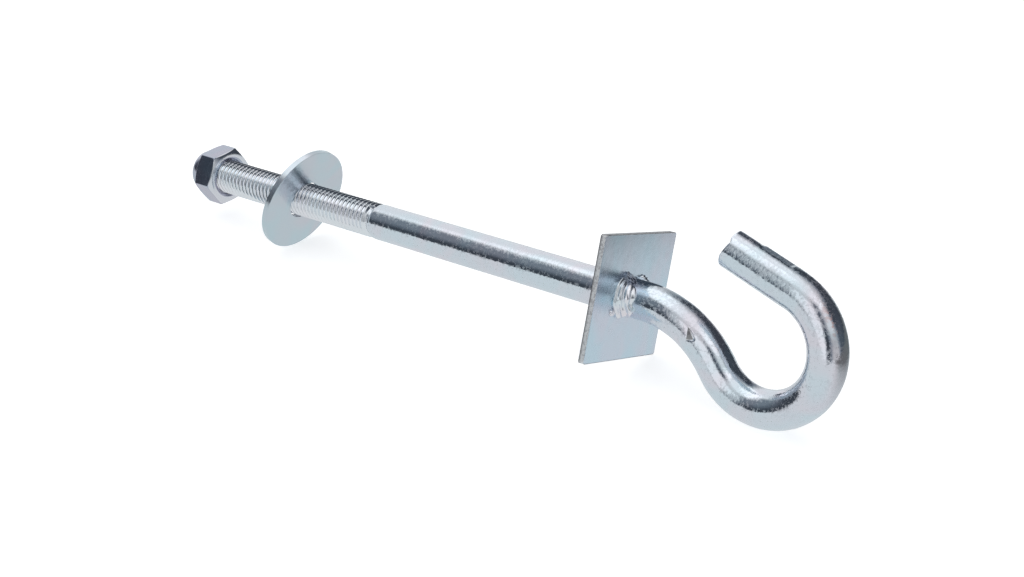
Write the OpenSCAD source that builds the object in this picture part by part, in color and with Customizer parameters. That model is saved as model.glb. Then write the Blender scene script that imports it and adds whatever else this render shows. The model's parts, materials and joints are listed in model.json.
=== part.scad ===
// Through-bolt hook for a swing: a round bar with a machine thread at one end,
// a square plate welded on at the shoulder and an open round hook beyond it.
// A large washer and a self-locking nut hang on the thread.
// The piece lies on a level surface: plate corner, hook belly and washer rim
// touch it, so the hook leans over and the bar rises a little towards the hook.

/* [Bar] */
// Bar diameter
rod_d = 12; // [10:0.5:12.5]
// Bar length from the plate's back face to the threaded end
rod_len = 180; // [150:1:260]
// Length of the threaded stretch
thread_len = 80; // [60:1:120]
// How much smaller in diameter the thread's crest is than the bar
thread_drop = 0.15; // [0.05:0.05:0.4]
// Length of the cone where the thread runs out into the bar
runout_len = 1.5; // [0.5:0.5:4]
// Chamfer on the threaded end
end_chamfer = 1.2; // [0.5:0.1:2]

/* [Hook] */
// Straight bar between the plate's front face and the first bend
lead_len = 5.6; // [4.5:0.1:20]
// Centre-line radius of the first bend, which turns down
drop_r = 33.6; // [20:0.1:60]
// Angle of the first bend
drop_angle = 51; // [30:1:65]
// Straight bar between the two bends
mid_len = 2; // [0.5:0.5:20]
// Centre-line radius of the hook's loop
loop_r = 18.9; // [14:0.1:40]
// Angle of the hook's loop
loop_angle = 213; // [180:1:230]
// Straight bar at the tip
tip_len = 23; // [16:0.5:40]
// Edge break at the sheared tip
tip_break = 0.6; // [0.2:0.1:1.5]
// How far the hook's plane is turned about the bar from the plate's edges
hook_turn = 7; // [0:0.5:15]

/* [Press marks] */
// Length of the flat that the bending tool left on the tip's outer side
mark_len = 19; // [10:0.5:22]
// Depth of that flat
mark_depth = 0.45; // [0.1:0.05:0.8]
// Bare length between that flat and the tip's end
mark_inset = 3; // [2:0.5:6]

/* [Plate] */
// Side of the square plate
plate_w = 39; // [32:0.5:60]
// Thickness of the plate
plate_t = 2; // [1.5:0.25:6]
// Corner radius of the plate
plate_corner = 0.8; // [0.3:0.1:4]
// Radial clearance of the plate's hole round the bar
plate_fit = 0.05; // [0.02:0.01:0.3]

/* [Weld] */
// Width of the weld run, outwards along the plate
weld_w = 3; // [1.5:0.1:5]
// Height of the weld run, along the bar
weld_h = 3.6; // [1.5:0.1:4.5]
// Where the run starts, as an angle round the bar from the plate's far edge
weld_from = 88; // [60:1:130]
// Where the run ends
weld_to = 262; // [180:1:300]
// Number of ripples along the run
ripples = 7; // [4:1:12]
// How much a ripple adds to the run's width and height
ripple_rise = 0.22; // [0:0.01:0.4]

/* [Washer] */
// Outer diameter
washer_d = 37; // [30:0.5:50]
// Thickness
washer_t = 2; // [1.5:0.25:4]
// How much wider than the bar the washer's hole is, in diameter
washer_slack = 1.35; // [1:0.05:3]
// Edge break on the washer's rim
washer_break = 0.35; // [0.1:0.05:0.6]
// Distance from the threaded end to the washer's middle
washer_at = 44; // [38:0.5:60]
// Radial play left when the tilted washer has jammed on the bar
washer_play = 0.05; // [0.02:0.01:0.2]

/* [Nut] */
// Width across flats
nut_af = 18; // [16:0.5:24]
// Height of the hexagon
nut_hex_h = 8.4; // [6:0.1:12]
// Height of the rounded collar that holds the locking ring
collar_h = 5.2; // [4:0.1:8]
// Diameter of the collar
collar_d = 15.8; // [14.5:0.1:17]
// Radius that rounds the collar over
collar_round = 3.2; // [2:0.1:3.6]
// Turn of the nut's corners about the bar
nut_turn = 52; // [0:1:59]
// Radial clearance of the nut on the thread
nut_fit = 0.06; // [0.02:0.01:0.1]

/* [Locking ring] */
// Outer diameter of the ring
ring_d = 13.8; // [13:0.1:14.5]
// How much smaller than the thread the ring's hole is, in diameter
ring_bite = 1; // [0.5:0.1:1.5]
// Thickness of the ring
ring_t = 3; // [2:0.1:3.5]
// Clearance round the ring in its groove
ring_fit = 0.05; // [0.02:0.01:0.1]
// Gap between the bar's threaded end and the ring, which it hasn't entered
ring_gap = 1.4; // [0.3:0.1:3]
// Depth of the ring's groove inside the collar
ring_sunk = 0.6; // [0.2:0.1:1.2]

/* [Hidden] */
$fn = 96;
rod_r = rod_d / 2;
thread_d = rod_d - thread_drop;
washer_x = -rod_len + washer_at;
washer_hole = rod_d + washer_slack;
// straight bar is drawn a hair thinner than bent bar, so each bend has an edge,
// and the bar beyond the plate's back face a hair thinner than the shank
seam = 0.01;
// how far straight bar reaches into the bar beside it
lap = 0.1;
shank_d = rod_d - seam;
lead_d = rod_d - 2 * seam;
hex_chamfer = 30;
hex_face = 0.95 * nut_af / 2;
ring_x = nut_hex_h + ring_sunk;
nut_x = ring_x - rod_len - ring_gap;

// the washer leans until the front of its hole meets the bar's top
// and the back of its hole meets the bar's underside
washer_lean = acos((rod_d + 2 * washer_play) / norm([washer_hole, washer_t]))
    - atan(washer_t / washer_hole);

// hook loop in its own plane: centre, and where the loop begins
drop_end = drop_r * [sin(drop_angle), cos(drop_angle) - 1];
loop_start = drop_end + mid_len * [cos(drop_angle), -sin(drop_angle)];
loop_centre = loop_start + loop_r * [sin(drop_angle), cos(drop_angle)];
tip_heading = loop_angle - drop_angle;
tip_start = loop_centre + loop_r * [sin(tip_heading), -cos(tip_heading)];
hook_up = [0, -sin(hook_turn), cos(hook_turn)];
loop_at = [plate_t + lead_len + loop_centre[0], 0, 0] + loop_centre[1] * hook_up;

// the surface that the piece lies on: its upward direction seen from the
// bar, for a bar that rises by rise and is rolled over by roll
function up(rise, roll) =
    [sin(rise), -sin(roll) * cos(rise), cos(roll) * cos(rise)];
function hook_low(u) =
    loop_r * norm([u[0], u * hook_up]) + rod_r - u * loop_at;
function plate_low(u) =
    max(0, -u[0] * plate_t) + (u[2] - u[1]) * (plate_w / 2 - plate_corner)
    + plate_corner * norm([u[1], u[2]]);
function washer_low(u) =
    let (lean = washer_lean - asin(u[0]))
    washer_d / 2 * cos(lean) + washer_t / 2 * sin(lean) - u[0] * washer_x;

// halve the interval until both ends agree; the sign tells which side is low
function rise_for(roll, low = -10, high = 20, n = 30) =
    let (mid = (low + high) / 2, u = up(mid, roll))
    n == 0 ? mid
    : washer_low(u) > plate_low(u) ? rise_for(roll, low, mid, n - 1)
    : rise_for(roll, mid, high, n - 1);
function roll_for(low = 0, high = 44, n = 30) =
    let (mid = (low + high) / 2, u = up(rise_for(mid), mid))
    n == 0 ? mid
    : plate_low(u) > hook_low(u) ? roll_for(low, mid, n - 1)
    : roll_for(mid, high, n - 1);
rest_roll = roll_for();
rest_rise = rise_for(rest_roll);

module at_rest() {
    rotate([-rest_roll, -rest_rise, 0])
        children();
}

// turns a solid drawn along +Z so that it runs along the bar, +X
module along() {
    rotate([0, 90, 0])
        children();
}

// Straight bar from x1 to x2 along +X, as thick as d1 at its start and d2 at its end.
// Its face starts at -Y, where the faces of both bends start too.
module straight(x1, x2, d1, d2) {
    translate([x1, 0, 0])
        along()
            rotate([0, 0, -90])
                cylinder(d1 = d1, d2 = d2, h = x2 - x1);
}

// start turns the section, so that its face starts on the bend's other side
module bend(r, angle, start = 0) {
    rotate_extrude(angle = angle)
        translate([r, 0])
            rotate(start)
                circle(d = rod_d);
}

// the S-bend and the loop, drawn flat: X along the bar, Y up
module hook_form() {
    translate([0, -drop_r, 0])
        rotate([0, 0, 90 - drop_angle])
            bend(drop_r, drop_angle, 180);
    translate([drop_end[0], drop_end[1], 0])
        rotate([0, 0, -drop_angle])
            straight(-lap, mid_len + lap, rod_d - seam, rod_d - seam);
    translate([loop_centre[0], loop_centre[1], 0])
        rotate([0, 0, -90 - drop_angle])
            bend(loop_r, loop_angle);
    translate([tip_start[0], tip_start[1], 0])
        rotate([0, 0, tip_heading]) {
            straight(-lap, tip_len - tip_break, rod_d - seam, rod_d - seam);
            straight(tip_len - tip_break, tip_len, rod_d - seam, rod_d - 2 * tip_break);
        }
}

// flat left by the bending tool along the outer side of the tip
module press_mark() {
    translate([tip_start[0], tip_start[1], 0])
        rotate([0, 0, tip_heading])
            translate([tip_len - mark_inset - mark_len, -rod_d - rod_r + mark_depth, -rod_d])
                cube([mark_len, rod_d, 2 * rod_d]);
}

module hook_rod() {
    color([0.74, 0.77, 0.82])
        at_rest()
            rotate([90 + hook_turn, 0, 0]) {
                thread_end = thread_len - rod_len;
                straight(-rod_len, end_chamfer - rod_len, thread_d - 2 * end_chamfer, thread_d);
                straight(end_chamfer - rod_len, thread_end, thread_d, thread_d);
                straight(thread_end, thread_end + runout_len, thread_d, shank_d);
                straight(thread_end + runout_len, 0, shank_d, shank_d);
                straight(-lap, plate_t + lead_len + lap, lead_d, lead_d);
                translate([plate_t + lead_len, 0, 0])
                    difference() {
                        hook_form();
                        press_mark();
                    }
            }
}

module rounded_square(w, r) {
    square([w, w - 2 * r], center = true);
    square([w - 2 * r, w], center = true);
    for (x = [-1, 1], y = [-1, 1])
        translate([x * (w / 2 - r), y * (w / 2 - r)])
            circle(r = r);
}

module square_plate() {
    color([0.70, 0.76, 0.81])
        at_rest()
            along()
                linear_extrude(plate_t)
                    difference() {
                        rounded_square(plate_w, plate_corner);
                        circle(r = rod_r + plate_fit);
                    }
}

// A run of weld metal in the corner of bar and plate, from one angle round the
// bar to another. Its section is a quarter round that swells at each ripple
// and thins out at both ends.
module weld_run(from, to, w, h, waves) {
    turns = ceil((to - from) / 4);
    arc = 7;
    r = (rod_r + plate_fit) / cos(2.5);
    ring = arc + 2;
    points = [for (i = [0:turns]) let (
            t = i / turns,
            a = from + (to - from) * t,
            swell = 0.3 + 0.7 * pow(max(0, 1 - pow(abs(2 * t - 1), 5)), 0.5),
            wave = 1 + ripple_rise * pow(abs(sin(180 * waves * t)), 0.7),
            lean = 1 + 0.12 * sin(360 * waves * t + 40))
        each [for (k = [0:ring - 1]) let (
                s = 90 - 90 * (k - 1) / arc,
                out = k == 0 ? 0 : w * swell * wave * lean * pow(max(0, cos(s)), 0.85),
                up = k == 0 ? 0 : h * swell * wave / lean * pow(max(0, sin(s)), 0.85))
            [plate_t + up, (r + out) * cos(a), (r + out) * sin(a)]]];
    sides = [for (i = [0:turns - 1], k = [0:ring - 1]) let (
            m = (k + 1) % ring, p = i * ring, q = p + ring)
        each [[p + k, q + m, p + m], [p + k, q + k, q + m]]];
    polyhedron(points, concat(sides,
        [[for (k = [0:ring - 1]) k]],
        [[for (k = [ring - 1:-1:0]) turns * ring + k]]), convexity = 6);
}

module weld_bead() {
    color([0.78, 0.80, 0.84])
        at_rest() {
            // the run hugs the near side of the bar, from its top round to below it
            weld_run(weld_from, weld_to, weld_w, weld_h, ripples);
            // small tack on top, beyond the run
            weld_run(weld_from - 52, weld_from - 20, 0.8 * weld_w, 0.7 * weld_h, 1);
            // short tack on the far side
            weld_run(weld_to + 40, weld_to + 90, 0.75 * weld_w, 0.6 * weld_h, 2);
        }
}

module washer() {
    color([0.69, 0.75, 0.79])
        at_rest()
            translate([washer_x, 0, 0])
                rotate([rest_roll, washer_lean, 0])
                    along()
                        difference() {
                            union() {
                                cylinder(d = washer_d - 2 * washer_break, h = washer_t,
                                    center = true);
                                cylinder(d = washer_d, h = washer_t - 2 * washer_break,
                                    center = true);
                            }
                            cylinder(d = washer_hole, h = 2 * washer_t, center = true);
                        }
}

// nut drawn along +Z with its bearing face at zero
module nut_form() {
    difference() {
        union() {
            intersection() {
                cylinder(d = nut_af / cos(30), h = nut_hex_h, $fn = 6);
                rotate_extrude()
                    polygon([[0, 0], [hex_face, 0],
                        [hex_face + nut_af, nut_af * tan(hex_chamfer)],
                        [hex_face + nut_af, nut_hex_h - nut_af * tan(hex_chamfer)],
                        [hex_face, nut_hex_h], [0, nut_hex_h]]);
            }
            cylinder(d = collar_d, h = nut_hex_h + collar_h - collar_round);
            translate([0, 0, nut_hex_h + collar_h - collar_round])
                rotate_extrude() {
                    square([collar_d / 2 - collar_round, collar_round]);
                    translate([collar_d / 2 - collar_round, 0])
                        intersection() {
                            circle(r = collar_round);
                            square(collar_round);
                        }
                }
        }
        translate([0, 0, -1])
            cylinder(r = thread_d / 2 + nut_fit, h = nut_hex_h + collar_h + 2);
        translate([0, 0, ring_x - ring_fit])
            cylinder(r = ring_d / 2 + ring_fit, h = ring_t + 2 * ring_fit);
    }
}

// puts a solid drawn along +Z on the thread, its +Z towards the bar's end
module on_thread() {
    translate([nut_x, 0, 0])
        rotate([nut_turn, 0, 0])
            rotate([0, -90, 0])
                children();
}

module nut() {
    color([0.72, 0.74, 0.80])
        at_rest()
            on_thread()
                nut_form();
}

module nylon_ring() {
    color([0.86, 0.88, 0.90])
        at_rest()
            on_thread()
                translate([0, 0, ring_x])
                    difference() {
                        cylinder(d = ring_d, h = ring_t);
                        translate([0, 0, -1])
                            cylinder(d = thread_d - ring_bite, h = ring_t + 2);
                    }
}

hook_rod();
square_plate();
weld_bead();
washer();
nut();
nylon_ring();
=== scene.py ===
import json
import math
import bpy
import numpy as np
from mathutils import Matrix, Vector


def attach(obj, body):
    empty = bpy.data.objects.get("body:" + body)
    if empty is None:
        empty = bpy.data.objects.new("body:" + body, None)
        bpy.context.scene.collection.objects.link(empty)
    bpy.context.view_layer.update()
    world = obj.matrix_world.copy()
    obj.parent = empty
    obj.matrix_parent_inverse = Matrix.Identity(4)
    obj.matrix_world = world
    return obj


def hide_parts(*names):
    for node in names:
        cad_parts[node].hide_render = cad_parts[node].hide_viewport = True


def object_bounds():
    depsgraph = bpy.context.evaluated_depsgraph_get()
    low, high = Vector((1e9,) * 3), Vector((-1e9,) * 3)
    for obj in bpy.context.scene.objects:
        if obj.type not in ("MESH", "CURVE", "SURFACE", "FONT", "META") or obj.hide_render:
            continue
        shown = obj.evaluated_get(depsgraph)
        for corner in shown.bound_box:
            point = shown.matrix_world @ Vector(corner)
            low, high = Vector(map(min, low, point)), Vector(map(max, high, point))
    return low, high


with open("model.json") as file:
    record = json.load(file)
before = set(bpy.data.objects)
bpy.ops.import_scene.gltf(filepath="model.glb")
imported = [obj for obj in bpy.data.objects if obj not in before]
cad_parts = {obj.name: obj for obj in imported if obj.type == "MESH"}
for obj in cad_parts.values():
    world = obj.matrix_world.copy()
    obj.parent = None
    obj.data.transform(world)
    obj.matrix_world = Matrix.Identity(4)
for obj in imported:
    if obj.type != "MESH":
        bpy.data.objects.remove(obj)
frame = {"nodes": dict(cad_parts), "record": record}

# looks of a zinc-plated through-bolt hook: bar, plate, washer, nut and weld metal, lying on a
# pale floor in soft studio light; lengths are millimetres until place() makes them metres

cadLow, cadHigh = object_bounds()
mountPlace = {mount["name"]: mount for mount in frame["record"]["mounts"]}
mm = 0.001


def unitVector(v):
    return np.asarray(v, float) / np.linalg.norm(v)


def unitRows(v):
    return v / np.linalg.norm(v, axis=-1, keepdims=True)


def smooth(x, low, high):  # eases from 0 at low to 1 at high
    t = np.clip((x - low) / (high - low), 0, 1)
    return t * t * (3 - 2 * t)


def bell(x, width):  # 1 at zero, fading out over width
    return np.exp(-(x / width) ** 2)


def softMin(a, b, k):  # the smaller of two, rounded over k where they meet
    h = np.clip(0.5 + 0.5 * (b - a) / k, 0, 1)
    return b * (1 - h) + a * h - k * h * (1 - h)


# bar's frame: along the bar, up in the hook's plane and across it, towards the photo's side
barDir = -unitVector(mountPlace["plate_seat"]["axis"])
seat = np.array(mountPlace["hook_seat"]["pos_m"])
hookUp = -unitVector(seat - barDir * (seat @ barDir))  # the seat hangs below the bar's axis
hookSide = np.cross(barDir, hookUp)


def place(x, up, side):  # point of the bar's frame, mm, to the shared frame, metres
    x, up, side = (np.asarray(a, float)[..., None] for a in (x, up, side))
    return mm * (x * barDir + up * hookUp + side * hookSide)


def turnAboutBar(grid, degrees):
    a = math.radians(degrees)
    along, up, side = (grid @ axis for axis in (barDir, hookUp, hookSide))
    turnedUp = up * math.cos(a) - side * math.sin(a)
    turnedSide = up * math.sin(a) + side * math.cos(a)
    return along[..., None] * barDir + turnedUp[..., None] * hookUp + turnedSide[..., None] * hookSide


def meshVolume(points, faces):  # sum of the tetrahedra from the first point
    corners = [face[:3] for face in faces]
    corners += [(face[0], face[2], face[3]) for face in faces if len(face) == 4]
    a, b, c = (points[column] - points[0] for column in np.array(corners).T)
    return float(np.einsum("ij,ij->i", a, np.cross(b, c)).sum() / 6)


def surface(name, grid, body, node, material, marks=None, capped=False):
    # grid[i, j] is closed round j; a cap is a fan of triangles to the end ring's middle;
    # marks hold a number for each grid point and become attributes that the material reads
    rings, around = grid.shape[:2]
    i, j = np.meshgrid(np.arange(rings - 1), np.arange(around), indexing="ij")
    nextJ = (j + 1) % around
    quads = np.stack([i * around + j, i * around + nextJ,
                      (i + 1) * around + nextJ, (i + 1) * around + j], -1).reshape(-1, 4)
    points = grid.reshape(-1, 3)
    faces = [tuple(quad) for quad in quads.tolist()]
    if capped:
        k = np.arange(around)
        for ring, flip in ((0, True), (rings - 1, False)):
            middle = len(points)
            points = np.vstack([points, grid[ring].mean(0)])
            a, b = ring * around + k, ring * around + (k + 1) % around
            fan = np.stack([b, a] if flip else [a, b], -1)
            faces += [(p, q, middle) for p, q in fan.tolist()]
    mesh = bpy.data.meshes.new(name)
    mesh.from_pydata(points.tolist(), [], faces)
    mesh.update()
    if meshVolume(points, faces) < 0:
        mesh.flip_normals()
    mesh.shade_smooth()
    mesh.materials.append(material)
    for mark, rows in (marks or {}).items():
        level = np.zeros(len(points), np.float32)
        level[:rings * around] = rows.ravel()
        mesh.attributes.new(mark, "FLOAT", "POINT").data.foreach_set("value", level)
    piece = bpy.data.objects.new(name, mesh)
    bpy.context.scene.collection.objects.link(piece)
    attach(piece, body)
    if node:
        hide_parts(node)


# shader maths: expressions on sockets add their nodes
class Value:
    def __init__(self, tree, socket):
        self.tree, self.socket = tree, socket

    def math(self, operation, *others, clamp=False):
        node = self.tree.nodes.new("ShaderNodeMath")
        node.operation, node.use_clamp = operation, clamp
        for n, item in enumerate((self, *others)):
            if isinstance(item, Value):
                self.tree.links.new(item.socket, node.inputs[n])
            else:
                node.inputs[n].default_value = item
        return Value(self.tree, node.outputs[0])

    def __add__(self, other):
        return self.math("ADD", other)

    def __sub__(self, other):
        return self.math("SUBTRACT", other)

    def __rsub__(self, other):
        return self * -1 + other

    def __mul__(self, other):
        return self.math("MULTIPLY", other)

    def __truediv__(self, other):
        return self.math("DIVIDE", other)

    def clamp(self):
        return self.math("ADD", 0.0, clamp=True)

    def ease(self, low, high):  # 0 below low, 1 above high
        return ((self - low) / (high - low)).clamp()

    def span(self, low, high, soft):  # 1 from low to high, fading out over soft on both sides
        return self.ease(low - soft, low + soft) * (1 - self.ease(high - soft, high + soft))


class Shader:
    def __init__(self, owner):
        owner.use_nodes = True
        self.tree = owner.node_tree
        self.tree.nodes.clear()

    def node(self, kind, settings=None, **inputs):
        made = self.tree.nodes.new(kind)
        for key, item in (settings or {}).items():
            setattr(made, key, item)
        for key, item in inputs.items():
            socket = made.inputs[key.replace("_", " ")]
            if isinstance(item, Value):
                self.link(item.socket, socket)
            else:
                socket.default_value = item
        return made

    def out(self, made, name):
        return Value(self.tree, made.outputs[name])

    def link(self, source, target):
        self.tree.links.new(source, target)

    def coords(self, kind="Object"):
        return self.out(self.node("ShaderNodeTexCoord"), kind)

    def attribute(self, name):
        return self.out(self.node("ShaderNodeAttribute", {"attribute_name": name}), "Fac")

    def noise(self, coords, scale, detail=3.0, rough=0.55, distortion=0.0):
        made = self.node("ShaderNodeTexNoise", Vector=coords, Scale=scale, Detail=detail,
                         Roughness=rough, Distortion=distortion)
        return self.out(made, "Fac")

    def mix(self, factor, a, b):  # the colour mix has its factor at input 0, its colours at 6 and 7
        made = self.tree.nodes.new("ShaderNodeMix")
        made.data_type = "RGBA"
        for n, item in ((0, factor), (6, a), (7, b)):
            if isinstance(item, Value):
                self.link(item.socket, made.inputs[n])
            else:
                made.inputs[n].default_value = (*item, 1.0) if n else item
        return Value(self.tree, made.outputs[2])

    def choose(self, factor, first, second):  # mixes two shaders
        made = self.node("ShaderNodeMixShader")
        for source, target in zip((factor.socket, first.outputs[0], second.outputs[0]), made.inputs):
            self.link(source, target)
        return made

    def output(self, shader, kind="ShaderNodeOutputMaterial"):
        self.link(shader.outputs[0], self.node(kind).inputs["Surface"])


# zinc of each piece: tint, second tint in clouds, roughness, share of rough specks, and the heights
# in mm of the plating's grain (under 1 mm across) and of its orange peel (2 to 3 mm across)
zincFinish = {
    "hookBar": dict(tint=(0.77, 0.80, 0.845), cloudTint=(0.70, 0.735, 0.80),
                    rough=0.085, specks=0.22, grain=0.034, peel=0.024),
    "squarePlate": dict(tint=(0.65, 0.74, 0.82), cloudTint=(0.72, 0.75, 0.80),
                        rough=0.24, specks=0.015, grain=0.003, peel=0.026),
    "weld": dict(tint=(0.86, 0.87, 0.89), cloudTint=(0.78, 0.80, 0.83),
                 rough=0.17, specks=0.05, grain=0.01, peel=0.05),
    # painted shade: the lump's tints are dark to stand in for the shade and dark reflection it shows
    "shadedWeldLump": dict(tint=(0.34, 0.37, 0.42), cloudTint=(0.12, 0.14, 0.18),
                     rough=0.12, specks=0.15, grain=0.06, peel=0.30),
    "washer": dict(tint=(0.62, 0.69, 0.73), cloudTint=(0.67, 0.685, 0.73),
                   rough=0.20, specks=0.03, grain=0.006, peel=0.03),
    "nut": dict(tint=(0.51, 0.54, 0.62), cloudTint=(0.47, 0.505, 0.59),
                rough=0.16, specks=0.05, grain=0.012, peel=0.03),
}

# what all zinc shares: noise scales, casts of the thin film on it, and tints of thread crests,
# cut metal, stain, and the near-black painted shade used at the burr, the plate's edges and the gouge
plating = dict(
    fineScale=1150.0, mediumScale=420.0, broadScale=70.0, filmScale=55.0,
    pinkCast=(1.07, 0.955, 0.99), greenCast=(0.89, 1.02, 1.05), filmShare=0.62,
    thread=(0.97, 0.975, 0.99), cutLight=(0.90, 0.89, 0.88), cutDark=(0.62, 0.60, 0.60),
    stain=(0.85, 0.42, 0.34), burrShade=(0.07, 0.07, 0.08),
)


def zinc(name, tint, cloudTint, rough, specks, grain, peel):
    # attribute look: 0 plating, 1 cut metal, 2 near-black painted shade (burr, plate edges, gouge),
    # levels between 1 and 2 cut metal darkened by painted shade, -1 bright thread or turned face;
    # attribute stain: how brown
    p = plating
    material = bpy.data.materials.new(name)
    s = Shader(material)
    coords = s.coords()
    fine = s.noise(coords, p["fineScale"], 2.0, 0.6)
    medium = s.noise(coords, p["mediumScale"], 2.0, 0.5)
    broad = s.noise(coords, p["broadScale"], 2.0, 0.5, 0.6)
    film = s.noise(coords, p["filmScale"], 2.0, 0.5, 1.2)
    look, stain = s.attribute("look"), s.attribute("stain")
    cut, burrShade, thread = look.clamp(), (look - 1).clamp(), (look * -1).clamp()
    cloud = ((broad - 0.35) * 2.2).clamp()
    speck = (fine + (broad - 0.5) * 0.25).ease(0.50, 0.60)
    pink, green = (tuple(a * b for a, b in zip(tint, p[cast])) for cast in ("pinkCast", "greenCast"))
    speckTint = tuple(0.62 * a for a in tint)
    colour = s.mix(cloud * 0.5, tint, cloudTint)
    colour = s.mix(p["filmShare"], colour, s.mix(((film - 0.38) * 3.5).clamp(), green, pink))
    colour = s.mix(speck * (specks * 0.4), colour, speckTint)
    colour = s.mix(thread * 0.55, colour, p["thread"])
    colour = s.mix((stain * speck).clamp(), colour, p["stain"])
    colour = s.mix(cut * 0.8, colour, s.mix(speck, p["cutLight"], p["cutDark"]))
    # painted shade: look above 1 darkens towards near black at the plate's burr and edges and in the
    # gouge
    colour = s.mix(burrShade * 0.9, colour, p["burrShade"])
    calm = 1 - thread * 0.8  # crests are rubbed smooth
    roughness = speck * calm * specks + (medium - 0.5) * (0.5 * rough)
    roughness = roughness + cloud * 0.03 + cut * 0.35 + rough
    height = fine * calm * grain + fine * cut * 0.12 + medium * calm * peel
    bump = s.node("ShaderNodeBump", Strength=1.0, Distance=mm, Height=height)
    shader = s.node("ShaderNodeBsdfPrincipled", Metallic=1.0, Roughness=roughness.clamp(),
                    Base_Color=colour)
    s.link(bump.outputs["Normal"], shader.inputs["Normal"])
    s.output(shader)
    return material


finish = {name: zinc("zinc_" + name, **values) for name, values in zincFinish.items()}


# bar: stations count along it from the plate's back face, angles round it from its upper side
bar = dict(
    diameter=12, lead=7.6, dropRadius=33.6, dropAngle=51, middle=2,   # straight, bend down, straight
    loopRadius=18.9, loopAngle=213, tip=23, tipBreak=0.5, shankDrop=0.012,
    threadStart=-180, threadEnd=-100, crest=11.85, depth=1.0, pitch=1.75, chamfer=1.2, runout=0.9,
    flatLength=19.3, flatDepth=0.36, flatAngle=184, flatTurn=7,       # die mark on the tip's outer side
    gougeStation=25.0, gougeAngle=57, gougeLength=4.0, gougeWidth=3.2, gougeTurn=39, gougeDepth=0.55,
    dentStation=116.8, dentAngle=98, dentDepth=0.03,
    tearAngle=128, tearDepth=1.0,                                     # notch torn into the sheared end
    stainStation=97, stainAngle=146,
    columns=84, crowd=0.45, crowdAngle=75,                            # grid, closer where the marks are
)

# one pitch of the thread, finer at crest and root
threadPhases = np.array([0, 0.05, 0.08, 0.11, 0.2, 0.3, 0.385, 0.43,
                         0.5, 0.57, 0.615, 0.7, 0.8, 0.89, 0.92, 0.95])


def barLengths():  # lead, bend down, short straight, loop and tip
    b = bar
    return [b["lead"], b["dropRadius"] * math.radians(b["dropAngle"]), b["middle"],
            b["loopRadius"] * math.radians(b["loopAngle"]), b["tip"]]


barEnd = float(np.cumsum(barLengths())[-1])


def centreLine(s):
    # place along the bar and up, and the heading, at station s: each arc adds the chord of the
    # angle run through so far, each straight its length in the heading reached
    lengths = barLengths()
    starts = np.cumsum([0] + lengths)
    x, up, heading = np.minimum(s, starts[1]), np.zeros_like(s), np.zeros_like(s)
    for k, curvature in ((1, -1 / bar["dropRadius"]), (2, 0), (3, 1 / bar["loopRadius"]), (4, 0)):
        run = np.clip(s - starts[k], 0, lengths[k])
        if curvature:
            turned = heading + curvature * run
            x = x + (np.sin(turned) - np.sin(heading)) / curvature
            up = up - (np.cos(turned) - np.cos(heading)) / curvature
            heading = turned
        else:
            x, up = x + run * np.cos(heading), up + run * np.sin(heading)
    return x, up, heading


def barGrid():
    # stations and angles of the grid; in the thread each row is sheared by one pitch a turn, so
    # that crest and root lie along rows
    b = bar
    start, end, pitch = b["threadStart"], b["threadEnd"], b["pitch"]
    even = np.arange(b["columns"]) * 2 * np.pi / b["columns"]
    around = even - b["crowd"] * np.sin(even - math.radians(b["crowdAngle"]))
    turns = int((end - start) / pitch)
    threadRows = (start + pitch * (np.arange(turns)[:, None] + threadPhases)).ravel()
    threadRows = threadRows[(threadRows > start + 0.15) & (threadRows < end)]
    rows = np.concatenate([
        [start, start + 0.05], threadRows, np.linspace(end + 0.1, end + 3, 12),
        np.linspace(-94, 7, 46), np.arange(7.6, 24, 0.6), np.arange(24, 30, 0.16),
        np.arange(30.2, 112, 0.6), np.arange(112, barEnd - 4, 0.4), np.linspace(barEnd - 4, barEnd, 27)])
    s, angle = np.meshgrid(np.unique(np.round(rows, 4)), around, indexing="ij")
    fade = smooth(s, start, start + pitch) * (1 - smooth(s, end - pitch, end))
    return s + pitch * (angle / (2 * np.pi) - 0.5) * fade, angle


def threadDepth(phase):  # 0 on the crest, 1 in the root, 60-degree flanks rounded at both ends
    distance = np.abs((phase + 0.5) % 1 - 0.5)
    flank = np.clip((distance - 0.06) / 0.36, 0, 1)
    return flank - 0.035 * np.sin(2 * np.pi * flank)


def threadRadius(s, angle):
    # bar's radius, lowered to the crest and by the groove of the helix in the thread, by a cone
    # at its end and by a hair on the shank
    b = bar
    radius, end = b["diameter"] / 2, b["threadEnd"]
    phase = s / b["pitch"] - angle / (2 * np.pi)
    grow = 1 - smooth(s, end - b["runout"], end + 0.4)
    inThread = 1 - smooth(s, end - 0.2, end + 1.3)
    r = radius + (b["crest"] / 2 - radius) * inThread
    r = r - b["depth"] * threadDepth(phase) * grow * (s < end + 1)
    cone = b["crest"] / 2 - b["chamfer"] + (s - b["threadStart"])
    return np.minimum(r, np.maximum(cone, 1)) - b["shankDrop"] * (s > end + 2)


def bendDepth(s, angle):  # bends are squeezed a little inside and carry faint die ripples
    inBend = smooth(s, 8, 16) * (1 - smooth(s, 108, 112))
    squeeze = 0.07 * (0.5 + 0.5 * np.cos(2 * angle)) ** 2
    ripple = 0.02 * (0.5 + 0.5 * np.sin(s * 0.83 + 2 * np.sin(angle)))
    return inBend * (squeeze + ripple)


def dieMark(r, s, angle):  # caps the radius with a flat that turns along the tip and ends in a step
    b = bar
    turnAt, stepAt = barEnd - b["flatTurn"], barEnd - b["flatLength"]
    faces = np.radians(b["flatAngle"] + 18 * smooth(s, turnAt - 2, turnAt))
    towards = np.maximum(np.cos(angle - faces), 0.3)
    flat = np.minimum(r, (b["diameter"] / 2 - b["flatDepth"]) / towards)
    return r + (flat - r) * smooth(s, stepAt - 0.6, stepAt + 0.2)


def fromSpot(s, angle, station, degrees):  # mm along the bar and round it from a spot on it
    return s - station, (np.degrees(angle) - degrees) * bar["diameter"] / 2 * np.pi / 180


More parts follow.
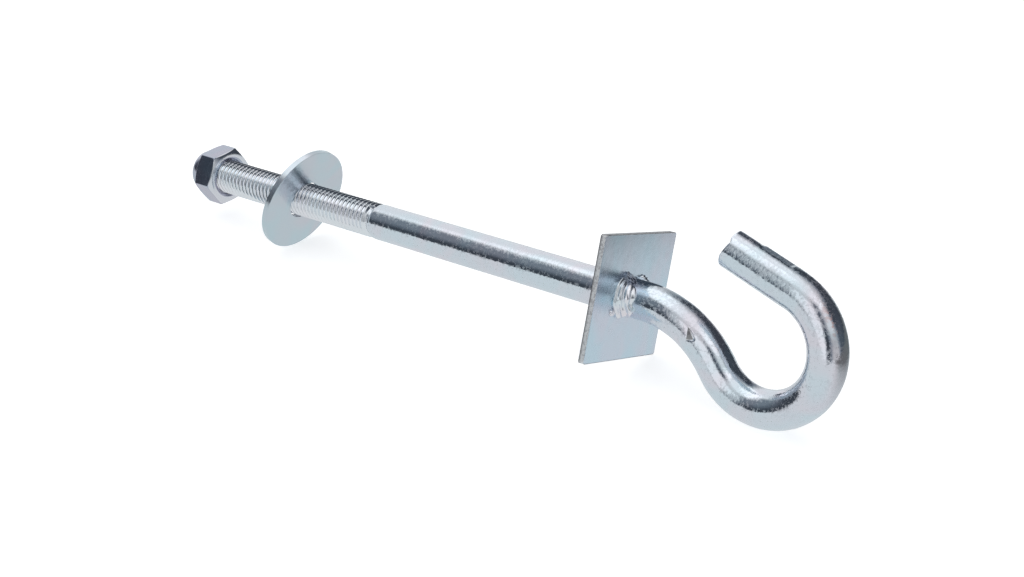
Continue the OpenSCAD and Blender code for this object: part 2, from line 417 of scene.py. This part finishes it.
def gouge(s, angle):
    # depth of a V that starts at a point, widens and deepens, and stops short; and where it is cut
    b = bar
    ds, da = fromSpot(s, angle, b["gougeStation"], b["gougeAngle"])
    turned = math.radians(b["gougeTurn"])
    along = (ds * math.cos(turned) + da * math.sin(turned)) / b["gougeLength"]
    halfWidth = b["gougeWidth"] / 2 * np.clip(along, 0.05, 1)
    across = (da * math.cos(turned) - ds * math.sin(turned)) / halfWidth
    vee = np.clip(np.minimum((across + 1) / 0.45, (1 - across) / 1.55), 0, 1)
    depth = b["gougeDepth"] * np.clip(along, 0, 1) * vee * (1 - smooth(along, 0.95, 1.15))
    return depth, (vee > 0.12) * (along > 0.12) * (along < 1) * (across > -0.5)


def tipRoll(s):  # the sheared end's edge is rolled over in a quarter circle
    past = np.clip(s - barEnd + bar["tipBreak"], 0, None) / bar["tipBreak"]
    return 0.6 * bar["tipBreak"] * (1 - np.sqrt(np.clip(1 - past ** 2, 0, 1)))


def tipTear(s, angle):
    # how far the end is torn back: most at one angle, steep towards the outer side and a long
    # slant on the other, spread over the last 4 mm
    off = np.degrees(angle) - bar["tearAngle"]
    steep = 0.34 * np.clip(1 - off / 77, 0, 1) + 0.66 * (1 - smooth(off, 1, 9))
    tear = bar["tearDepth"] * np.where(off < 0, np.clip(1 + off / 51, 0, 1), steep)
    return tear * np.clip((s - barEnd + 4) / 4, 0, 1)


def barSurface():
    # swept circle: radius(station, angle) round the centre line, less the depth of each mark
    b = bar
    s, angle = barGrid()
    r = dieMark(threadRadius(s, angle) - bendDepth(s, angle), s, angle)
    depth, inGouge = gouge(s, angle)
    ds, da = fromSpot(s, angle, b["dentStation"], b["dentAngle"])
    r = r - depth - b["dentDepth"] * bell(ds, 1.1) * bell(da, 0.6) - tipRoll(s)
    x, up, heading = centreLine(s)
    x = x - tipTear(s, angle) * np.cos(heading) - r * np.cos(angle) * np.sin(heading)
    up = up - tipTear(s, angle) * np.sin(heading) + r * np.cos(angle) * np.cos(heading)
    # in the gouge, look 1.75 is cut metal darkened by painted shade in its hollow; the thread is -1
    look = 1.75 * inGouge - 1.0 * (s < b["threadEnd"] + 0.2)
    ds, da = fromSpot(s, angle, b["stainStation"], b["stainAngle"])
    stain = 0.5 * bell(ds, 4) * bell(da, 1.1)
    return place(x, up, r * np.sin(angle)), dict(look=look, stain=stain)


print("bar: thread, shank, S-bend, loop and tip")
grid, marks = barSurface()
surface("hookBar", grid, "hook", "hook_rod", finish["hookBar"], marks, capped=True)


# plate: a sheared square sheet, edges rolled a little at the front, burr at the back; the dark lines
# along its edges and the burr are painted shade
# levels of look above 1 paint shade along the edges: darker top edge, a dark line low on the cut and on
# the rolled edge, near-black burr
plate = dict(side=39, thickness=2, corner=0.8, hole=12.1, turn=7, roll=0.10, columns=288,
             cutEdge=1, shadedTopEdge=1.5, shadedLowerCut=1.3, rolledEdgeShade=1.7, burrShade=1.9)  # levels of look


def plateSurface():
    # rings at a share of the way from the hole to the square's outline, along rays from the bar:
    # hole's wall, front face, rolled edge with a painted shade line, ragged cut edge (painted shade on
    # the top side and low down), burr in painted shade, back face
    p = plate
    columns, thickness, roll = p["columns"], p["thickness"], p["roll"]
    t = (np.arange(columns) + 0.5) / columns * 4
    side, along = np.floor(t).astype(int), (t % 1) * 2 - 1  # sides: 0 top, 1 near, 2 bottom, 3 far
    half, corner = p["side"] / 2, p["corner"]
    flat = np.clip(along * half, corner - half, half - corner)
    bend = (along * half - flat) / corner * (np.pi / 4)
    y, z = flat + corner * np.sin(bend), half - corner + corner * np.cos(bend)
    a = side * np.pi / 2
    square = np.stack([y * np.cos(a) + z * np.sin(a), -y * np.sin(a) + z * np.cos(a)], -1)
    normal = np.stack([np.sin(a + bend), np.cos(a + bend)], -1)
    hole = unitRows(square) * p["hole"] / 2
    grid, look = [], []

    def ring(share, inset, x, level=0.0):
        outline = hole + (square - hole) * share - normal * inset
        grid.append(place(x, outline[:, 1], outline[:, 0]))
        look.append(np.broadcast_to(level, columns))

    for x in (0.0, thickness * 0.5, thickness):
        ring(0, 0, x)
    for share in (0.03, 0.2, 0.4, 0.6, 0.8, 0.95, 0.985):
        ring(share, 0, thickness)
    # painted shade: a dark line along the rolled edge, but not on the near side
    rolled = np.where(side == 1, 0.0, p["rolledEdgeShade"])  # a dark line, but not on the near side
    for k in np.radians(np.linspace(0, 90, 4)):
        ring(1, roll * (1 - np.sin(k)), thickness - roll * (1 - np.cos(k)), rolled)
    # painted shade: the top side's cut edge is darker than the others
    cut = np.where(side == 0, p["shadedTopEdge"], p["cutEdge"])
    ring(1, 0.02, thickness - roll - 0.05, cut)
    rag = 0.03 + 0.6 * np.abs(0.05 * np.sin(t * 61) + 0.04 * np.sin(t * 149 + 1))
    # painted shade: the lowest ring of the cut edge is a little darker
    for share, level in ((0.7, cut), (0.45, cut), (0.22, p["shadedLowerCut"])):
        ring(1, rag[:, None], thickness * share, level)
    # painted shade: the burr's rings are near black
    ring(1, 0.02, 0.03, p["burrShade"])
    ring(1, 0.12, 0.0, p["burrShade"])
    for share in (0.9, 0.5, 0.1, 0):
        ring(share, 0, 0.0)
    return turnAboutBar(np.array(grid), -p["turn"]), dict(look=np.array(look))


print("plate")
grid, marks = plateSurface()
surface("squarePlate", grid, "hook", "square_plate", finish["squarePlate"], marks)


# washer: it hangs on the thread and leans
washer = dict(outer=37, thickness=2, hole=13.35, holeRound=0.3, rimRound=0.06, backRound=0.15,
              station=-136, lean=17.7956, columns=288)


def washerSurface():
    # section (radius, height) carried round the washer's own axis: hole, front face, rim, back
    w = washer
    half, outer, inner = w["thickness"] / 2, w["outer"] / 2, w["hole"] / 2
    hole, rim, back = w["holeRound"], w["rimRound"], w["backRound"]
    quarter = np.radians(np.linspace(0, 90, 7))
    section = [(inner, -half + 0.1), (inner, half - hole)]
    section += [(inner + hole * (1 - math.cos(k)), half - hole + hole * math.sin(k)) for k in quarter]
    section += [(r, half) for r in np.linspace(inner + 0.6, outer - 1.2, 12)]
    section += [(outer - rim - 0.05, half)]
    section += [(outer - rim + rim * math.sin(k), half - rim * (1 - math.cos(k))) for k in quarter]
    section += [(outer, half - 0.12), (outer - 0.02, 0.0), (outer, -half + 0.25)]
    section += [(outer - back + back * math.cos(k), -half + back - back * math.sin(k)) for k in quarter]
    section += [(r, -half) for r in np.linspace(outer - 0.6, inner + 0.5, 8)]
    section += [(inner + 0.08, -half), (inner, -half + 0.1)]
    r, height = np.array(section).T[:, :, None]
    a = np.arange(w["columns"]) * 2 * np.pi / w["columns"]
    up, across = r * np.cos(a), r * np.sin(a)
    lean = math.radians(w["lean"])
    along = height * math.cos(lean) + up * math.sin(lean)
    upright = up * math.cos(lean) - height * math.sin(lean)
    level = unitVector(np.cross((0, 0, 1), barDir))  # it leans in the bar's upright plane
    rise = np.cross(barDir, level)
    return mm * ((w["station"] + along)[..., None] * barDir + upright[..., None] * rise
                 + across[..., None] * level)


print("washer")
surface("plainWasher", washerSurface(), "washer", "washer", finish["washer"])


# nut: hexagon chamfered at both ends, rounded collar, bore with a groove for the locking ring
nut = dict(flats=18, hexHeight=8.4, collarHeight=4.2, collar=15.0, collarRound=3.5, turn=52,
           face=-172.4, bore=11.97, edge=0.22, chamfer=30, ringGroove=13.9, ringFrom=9.0,
           ringLength=3.1, columns=288)


def nutSurface():
    # rings of radius(angle) at heights from the face: the hexagon's is the smaller of hexagon and
    # chamfer cones, edges rounded by softMin; then collar, bore and groove, back to the face
    n = nut
    a = np.arange(n["columns"]) * 2 * np.pi / n["columns"]
    hexagon = n["flats"] / 2 / np.cos(np.abs(a % (np.pi / 3) - np.pi / 6))
    face, slope = 0.95 * n["flats"] / 2, 1 / math.tan(math.radians(n["chamfer"]))
    top = n["hexHeight"]
    z = np.concatenate([np.linspace(0.0, 1.2, 16), np.linspace(1.5, top - 1.5, 7),
                        np.linspace(top - 1.2, top, 16)])
    radius = softMin(hexagon[None], (face + z * slope)[:, None], n["edge"])
    radius = softMin(radius, (face + (top - z) * slope)[:, None], n["edge"])
    collar, dome, end = n["collar"] / 2, n["collarRound"], top + n["collarHeight"]
    bore, groove = n["bore"] / 2, n["ringGroove"] / 2
    ringStart, ringEnd = n["ringFrom"] - 0.05, n["ringFrom"] + n["ringLength"]
    turned = [(collar + 0.25, top), (collar + 0.05, top + 0.12), (collar, top + 0.4)]
    turned += [(collar, end - dome)]
    inner = bore + 0.4
    turned += [(inner + (collar - inner) * math.cos(k), end - dome + dome * math.sin(k))
               for k in np.radians(np.linspace(8, 90, 10))]
    turned += [(bore + 0.3, end), (bore + 0.05, end - 0.1), (bore, end - 0.4)]
    turned += [(bore, ringEnd), (groove, ringEnd), (groove, ringStart), (bore, ringStart)]
    turned += [(bore, 0.9), (bore + 0.75, 0.0)]
    inFace = radius[0] - 1.2
    r = np.vstack([inFace, radius, [np.full(n["columns"], row) for row, _ in turned], inFace])
    z = np.concatenate([[0.0], z, [height for _, height in turned], [0.0]])[:, None]
    bright = np.where(np.arange(len(z)) < 12, -1.0, 0.0)  # the turned face and its chamfer
    grid = place(n["face"] - z, r * np.cos(a), r * np.sin(a))
    return turnAboutBar(grid, n["turn"] - plate["turn"]), dict(look=np.repeat(bright, len(a)))


print("nut")
grid, marks = nutSurface()
surface("hexNut", grid, "nut", "nut", finish["nut"], marks)


# weld metal: main run on the near side with a ridge on the plate and one on the bar, a lump
# above it painted dark as painted shade and dark reflection, tacks and a droplet; angles count round the
# bar from the far side over the top;
# waves are (count, shift, size) of the swellings along a run
weldRuns = [
    dict(name="weldRun", start=124, end=240, wide=3.9, high=5.0, valley=0.26,
         waves=((4, 0.5, 0.05), (7, 1.2, 0.04)), finish="weld"),
    dict(name="weldTop", start=112, end=133, wide=3.2, high=2.7, valley=0.0,
         waves=((4, 0.0, 0.12), (9, 0.4, 0.08)), finish="shadedWeldLump"),
    dict(name="weldTack", start=34, end=64, wide=2.3, high=3.0, valley=0.12,
         waves=((3, 0.3, 0.06),), finish="weld"),
    dict(name="weldFar", start=-50, end=-14, wide=2.2, high=2.2, valley=0.1,
         waves=((5, 0.9, 0.12),), finish="weld"),
    dict(name="weldDrop", start=199, end=211, wide=1.9, high=0.8, valley=0.0,
         waves=(), finish="weld", base=9.6),
]


def weldSurface(run):
    # section in polar form round the corner of bar and plate: radius(k) from wide along the plate
    # to high along the bar, with a valley between the ridges; it swells and fades along the run,
    # and closes over a foot sunk 0.15 mm into bar and plate
    t = np.linspace(0, 1, 72)[:, None]
    k = np.linspace(0, 1, 26)[None]
    sec = k * np.pi / 2
    body = np.sqrt(np.clip(1 - np.abs(2 * t - 1) ** 3.2, 0, 1))
    streaks = 1 + sum(size * np.sin(np.pi * count * t + shift + 5 * k)
                      for count, shift, size in run["waves"])
    streaks = streaks + 0.06 * np.sin(19 * k + 2 * np.sin(6 * t)) + 0.02 * np.sin(37 * k - 4 * t)
    radius = run["wide"] * np.cos(sec) ** 2 + run["high"] * np.sin(sec) ** 2
    radius = radius * (1 - run["valley"] * np.sin(2 * sec) ** 2) * body * streaks
    corner = run.get("base", bar["diameter"] / 2) - 0.15
    foot = plate["thickness"] - 0.15
    r = np.hstack([corner + radius * np.cos(sec), np.full_like(t, corner)])
    x = np.hstack([foot + radius * np.sin(sec), np.full_like(t, foot)])
    slant = 0.06 * (k - 0.5) * body  # ridges lean along the run
    a = np.radians(run["start"] + (run["end"] - run["start"]) * np.hstack([t + slant, t]))
    return turnAboutBar(place(x, r * np.sin(a), -r * np.cos(a)), -plate["turn"])


print("weld")
for run in weldRuns:
    node = "weld_bead" if run["name"] == "weldRun" else None
    surface(run["name"], weldSurface(run), "hook", node, finish[run["finish"]], capped=True)


def nylon():
    material = bpy.data.materials.new("nylon_ring")
    s = Shader(material)
    tone = s.noise(s.coords(), 300.0)
    colour = s.mix(tone, (0.80, 0.83, 0.86), (0.88, 0.90, 0.92))
    bump = s.node("ShaderNodeBump", Strength=0.3, Distance=0.02 * mm, Height=tone)
    shader = s.node("ShaderNodeBsdfPrincipled", Roughness=0.45, Base_Color=colour)
    s.link(bump.outputs["Normal"], shader.inputs["Normal"])
    s.output(shader)
    return material


ringMesh = frame["nodes"]["nylon_ring"].data
ringMesh.materials.clear()
ringMesh.materials.append(nylon())


# floor: the camera sees it pale with the piece's shadow; the metal sees an even glow that
# leaves the far right corner dark
floor = dict(size=3.0, gap=0.00005, pale=0.62, paint=0.9, glow=0.75, farGlow=0.16,
             glowTint=(0.95, 0.985, 1.0))


def whiteFloor():
    f = floor
    material = bpy.data.materials.new("studio_floor")
    s = Shader(material)
    pale = s.node("ShaderNodeEmission", Color=(1, 1, 1, 1), Strength=f["pale"])
    diffuse = s.node("ShaderNodeBsdfDiffuse", Color=(f["paint"], f["paint"], f["paint"], 1))
    both = s.node("ShaderNodeAddShader")
    s.link(pale.outputs[0], both.inputs[0])
    s.link(diffuse.outputs[0], both.inputs[1])
    parts = s.node("ShaderNodeSeparateXYZ", Vector=s.coords())
    x, y = s.out(parts, "X"), s.out(parts, "Y")
    away = (x - 0.075) * 0.35 + y * 0.8
    dark = away.ease(-0.002, 0.07) * x.ease(0.05, 0.085)
    lit = (1 - dark) * (f["glow"] - f["farGlow"]) + f["farGlow"]
    glow = s.node("ShaderNodeEmission", Color=(*f["glowTint"], 1), Strength=lit)
    seen = s.out(s.node("ShaderNodeLightPath"), "Is Camera Ray")
    s.output(s.choose(seen, glow, both))
    return material


def addFloor():
    size, low = floor["size"], cadLow[2] - floor["gap"]
    mesh = bpy.data.meshes.new("floor")
    corners = [(-size, -size, low), (size, -size, low), (size, size, low), (-size, size, low)]
    mesh.from_pydata(corners, [], [(0, 1, 2, 3)])
    mesh.materials.append(whiteFloor())
    sheet = bpy.data.objects.new("floor", mesh)
    bpy.context.scene.collection.objects.link(sheet)


# studio: a dark, bluish room with a broad light overhead, lower at the back, and soft boxes round
# it; facing counts in degrees from +Y (0) over +X (90), heights from the horizon up
studio = dict(darkRoom=0.062, overhead=0.88, brightest=1.25, dimTone=(0.78, 0.93, 1.16),
              brightTone=(0.965, 0.985, 1.0))
softBoxes = [
    dict(facing=(266, 338), soft=9, fadeOut=(50, 80), strength=0.80),                   # left
    dict(facing=(158, 199), soft=6, fadeOut=(38, 60), strength=0.88),                   # narrow, front
    dict(facing=(88, 135), soft=14, fadeIn=(15, 33), fadeOut=(51, 69), strength=0.70),  # right, high
    dict(facing=(84, 130), soft=10, fadeOut=(10, 34), strength=0.46),                   # right, low
    dict(facing=(62, 100), soft=40, fadeOut=(15, 40), strength=0.09),                   # glow beside it
    dict(facing=(203, 268), soft=8, fadeIn=(13, 33), fadeOut=(46, 66), strength=0.17),  # front fill
    dict(facing=(205, 275), soft=12, fadeIn=(50, 60), strength=0.40),                   # above the fill
]


def addStudio():
    world = bpy.data.worlds.new("studio")
    bpy.context.scene.world = world
    s = Shader(world)
    parts = s.node("ShaderNodeSeparateXYZ", Vector=s.coords("Generated"))
    x, y, z = (s.out(parts, n) for n in "XYZ")
    azimuth = x.math("ARCTAN2", y) * (180 / math.pi)
    facing = azimuth + (1 - azimuth.ease(-0.5, 0.5)) * 360  # 0 to 360
    height = z.math("ARCSINE") * (180 / math.pi)
    back = azimuth.span(-12, 72, 14)
    level = height.ease(back * -2 + 46, back * 14 + 62) * studio["overhead"] + studio["darkRoom"]
    for box in softBoxes:
        part = facing.span(*box["facing"], box["soft"])
        if "fadeIn" in box:
            part = part * height.ease(*box["fadeIn"])
        if "fadeOut" in box:
            part = part * (1 - height.ease(*box["fadeOut"]))
        level = level + part * box["strength"]
    tone = s.mix(level.ease(0.05, 0.5), studio["dimTone"], studio["brightTone"])
    glow = s.node("ShaderNodeBackground", Color=tone, Strength=level.math("MINIMUM", studio["brightest"]))
    white = s.node("ShaderNodeBackground", Color=(1, 1, 1, 1), Strength=1.0)
    seen = s.out(s.node("ShaderNodeLightPath"), "Is Camera Ray")
    s.output(s.choose(seen, glow, white), "ShaderNodeOutputWorld")


# camera: fitted to the photo
camera = dict(
    focalPixels=1710.49, widthPixels=1024, sensor=36,
    position=(0.25598420, -0.38270045, 0.23289789),
    forward=(-0.55049664, 0.70355564, -0.44940283), down=(0.28558779, -0.34712996, -0.8932751),
)


def addCamera():
    c = camera
    data = bpy.data.cameras.new("camera")
    data.sensor_width = c["sensor"]
    data.lens = c["sensor"] * c["focalPixels"] / c["widthPixels"]
    data.clip_start, data.clip_end = 0.01, 20
    eye = bpy.data.objects.new("camera", data)
    bpy.context.scene.collection.objects.link(eye)
    back, up = -unitVector(c["forward"]), -unitVector(c["down"])
    right = np.cross(up, back)
    rows = np.column_stack([right, up, back, c["position"]]).tolist()
    eye.matrix_world = Matrix(rows + [[0, 0, 0, 1]])
    bpy.context.scene.camera = eye


print("floor, light and camera")
addFloor()
addStudio()
addCamera()
bpy.context.scene.view_settings.view_transform = "Standard"
